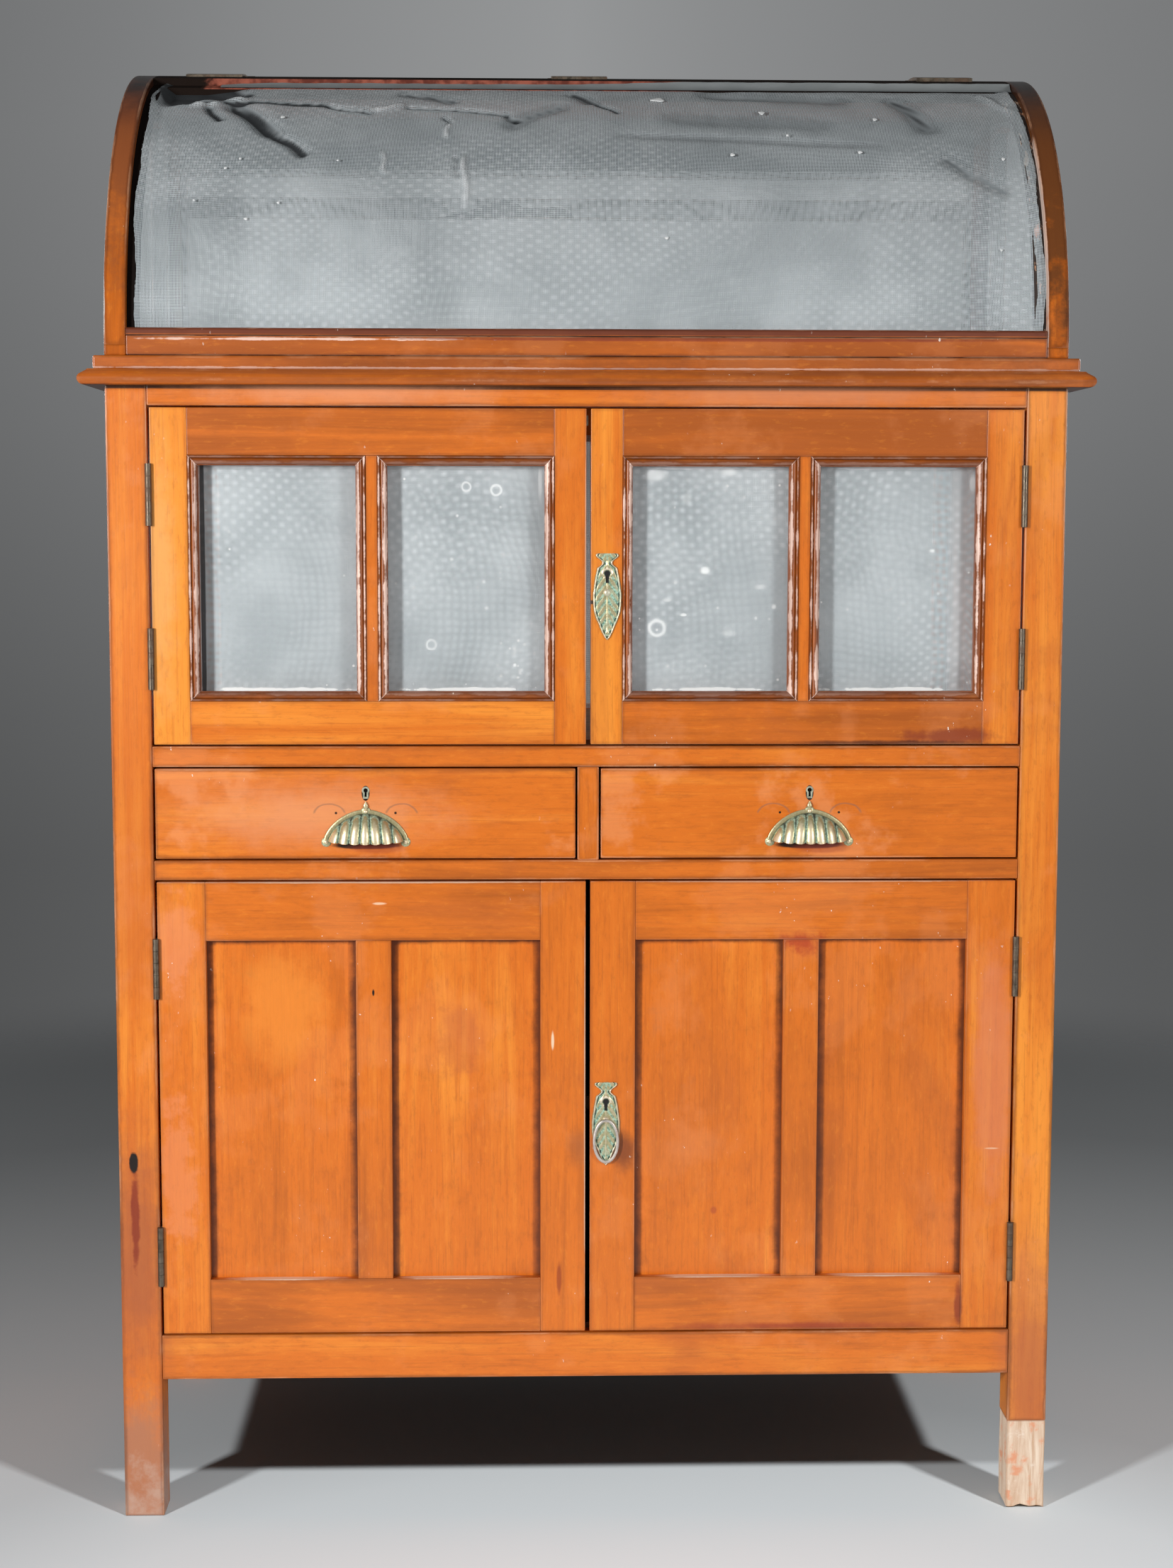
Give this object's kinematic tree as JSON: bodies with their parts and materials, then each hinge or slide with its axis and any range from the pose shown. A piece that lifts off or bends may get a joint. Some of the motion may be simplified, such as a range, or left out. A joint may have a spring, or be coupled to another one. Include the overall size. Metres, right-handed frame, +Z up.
{
  "type": "pie safe",
  "caption": "Free-standing pie safe: hinged domed wire-gauze lid, gauze doors over drawers with cup pulls, panelled doors below, square legs.",
  "frame": {"origin": "centre of the overall box on the floor", "axes": "+X to the right seen from the front, +Y from the doors to the back, +Z up"},
  "size_m": [1.2062, 0.5831, 1.816],
  "materials": {
    "stained_wood": "semi-gloss varnish over stain, worn",
    "inner_wood": "bare and dull inside",
    "raw_wood": "raw sawn softwood",
    "gauze": "galvanised woven wire, dull",
    "aged_brass": "aged brass with green patina",
    "hinge_steel": "tarnished",
    "ring_metal": "worn nickel over brass with green patina"
  },
  "bodies": {
    "carcass": {"front_left_post": "stained_wood", "front_right_post": "stained_wood", "spliced_foot": "raw_wood", "rear_posts": "stained_wood", "front_rails": "stained_wood", "drawer_divider": "stained_wood", "side_rails": "stained_wood", "side_panels": "stained_wood", "back_rails": "stained_wood", "back_boards": "inner_wood", "carcass_screens": "gauze", "bottom_board": "inner_wood", "waist_board": "inner_wood", "lower_shelf": "inner_wood", "runners_and_cleats": "inner_wood", "cornice_moulding": "stained_wood", "top_board": "stained_wood", "dome_ends": "stained_wood", "dome_back_frame": "stained_wood", "dome_screens": "gauze", "dome_top": "stained_wood", "fixed_hinge_leaves": "hinge_steel"},
    "lid": {"lid_ribs": "stained_wood", "lid_bottom_rail": "stained_wood", "lid_top_rail": "stained_wood", "lid_screen": "gauze", "lid_hinge_leaves": "hinge_steel"},
    "upper_left_door": {"upper_left_door_frame": "stained_wood", "upper_left_door_beads": "stained_wood", "upper_left_door_screen": "gauze", "upper_left_hinge_leaves": "hinge_steel"},
    "upper_right_door": {"upper_right_door_frame": "stained_wood", "upper_right_door_beads": "stained_wood", "upper_right_door_screen": "gauze", "upper_right_hinge_leaves": "hinge_steel", "upper_key_plate": "aged_brass", "upper_lock_case": "aged_brass"},
    "lower_left_door": {"lower_left_door_frame": "stained_wood", "lower_left_door_panels": "stained_wood", "lower_left_hinge_leaves": "hinge_steel"},
    "lower_right_door": {"lower_right_door_frame": "stained_wood", "lower_right_door_panels": "stained_wood", "lower_right_hinge_leaves": "hinge_steel", "lower_key_plate": "aged_brass", "lower_lock_case": "aged_brass"},
    "ring": {"ring_pull": "ring_metal"},
    "upper_bolt": {"upper_lock_bolt": "hinge_steel"},
    "lower_bolt": {"lower_lock_bolt": "hinge_steel"},
    "upper_button": {"upper_turn_button": "aged_brass"},
    "lower_button": {"lower_turn_button": "aged_brass"},
    "left_drawer": {"left_drawer_front": "stained_wood", "left_drawer_box": "inner_wood", "left_cup_pull": "aged_brass", "left_drawer_lock": "aged_brass"},
    "right_drawer": {"right_drawer_front": "stained_wood", "right_drawer_box": "inner_wood", "right_cup_pull": "aged_brass", "right_drawer_lock": "aged_brass"},
    "left_bolt": {"left_drawer_bolt": "hinge_steel"},
    "right_bolt": {"right_drawer_bolt": "hinge_steel"}
  },
  "joints": [
    {"name": "lid_hinge", "type": "hinge", "parent": "carcass", "child": "lid", "pos_m": [0, 0.10655, 1.812], "axis": [-1, 0, 0], "range_deg": [0, 145]},
    {"name": "upper_left_door_hinge", "type": "hinge", "parent": "carcass", "child": "upper_left_door", "pos_m": [-0.525, -0.26545, 1.1655], "axis": [0, 0, -1], "range_deg": [0, 170]},
    {"name": "upper_right_door_hinge", "type": "hinge", "parent": "carcass", "child": "upper_right_door", "pos_m": [0.525, -0.26545, 1.1655], "axis": [0, 0, 1], "range_deg": [0, 170]},
    {"name": "lower_left_door_hinge", "type": "hinge", "parent": "carcass", "child": "lower_left_door", "pos_m": [-0.525, -0.26545, 0.515], "axis": [0, 0, -1], "range_deg": [0, 170]},
    {"name": "lower_right_door_hinge", "type": "hinge", "parent": "carcass", "child": "lower_right_door", "pos_m": [0.525, -0.26545, 0.515], "axis": [0, 0, 1], "range_deg": [0, 170]},
    {"name": "left_drawer_slide", "type": "slide", "parent": "carcass", "child": "left_drawer", "axis": [0, -1, 0], "range_m": [0, 0.36]},
    {"name": "right_drawer_slide", "type": "slide", "parent": "carcass", "child": "right_drawer", "axis": [0, -1, 0], "range_m": [0, 0.36]},
    {"name": "ring_swing", "type": "hinge", "parent": "lower_right_door", "child": "ring", "pos_m": [0.0225, -0.26775, 0.5005], "axis": [-1, 0, 0], "range_deg": [0, 165]},
    {"name": "upper_bolt_slide", "type": "slide", "parent": "upper_right_door", "child": "upper_bolt", "axis": [-1, 0, 0], "range_m": [0, 0.012]},
    {"name": "lower_bolt_slide", "type": "slide", "parent": "lower_right_door", "child": "lower_bolt", "axis": [-1, 0, 0], "range_m": [0, 0.012]},
    {"name": "left_bolt_slide", "type": "slide", "parent": "left_drawer", "child": "left_bolt", "axis": [0, 0, 1], "range_m": [0, 0.008]},
    {"name": "right_bolt_slide", "type": "slide", "parent": "right_drawer", "child": "right_bolt", "axis": [0, 0, 1], "range_m": [0, 0.008]},
    {"name": "upper_button_turn", "type": "hinge", "parent": "upper_left_door", "child": "upper_button", "pos_m": [-0.022, -0.24245, 1.3535], "axis": [0, 1, 0], "range_deg": [0, 90]},
    {"name": "lower_button_turn", "type": "hinge", "parent": "lower_left_door", "child": "lower_button", "pos_m": [-0.048, -0.24245, 0.7835], "axis": [0, 1, 0], "range_deg": [0, 90]}
  ]
}
